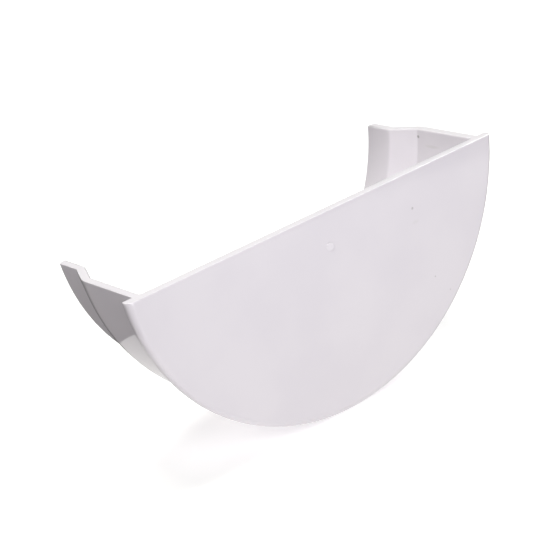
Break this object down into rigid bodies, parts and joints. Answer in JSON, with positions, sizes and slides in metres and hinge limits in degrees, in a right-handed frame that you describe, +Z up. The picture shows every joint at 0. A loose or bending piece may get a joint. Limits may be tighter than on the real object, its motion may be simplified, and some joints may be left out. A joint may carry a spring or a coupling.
{
  "type": "gutter end cap",
  "caption": "Moulded stop end for half-round gutter: flat D-shaped plate with an overhanging rim, a U-shaped wall behind it, an inward shoulder and a short spigot.",
  "frame": {"origin": "middle of the rim line, in the plane of the flange's back face where a fitting butts", "axes": "+X across the gutter, +Y along the gutter from the end plate towards the spigot, +Z up"},
  "size_m": [0.1178, 0.0391, 0.053],
  "materials": {
    "white_upvc": "smooth moulded white PVC with a soft gloss"
  },
  "bodies": {
    "root": {"end_cap": "white_upvc"}
  },
  "joints": []
}
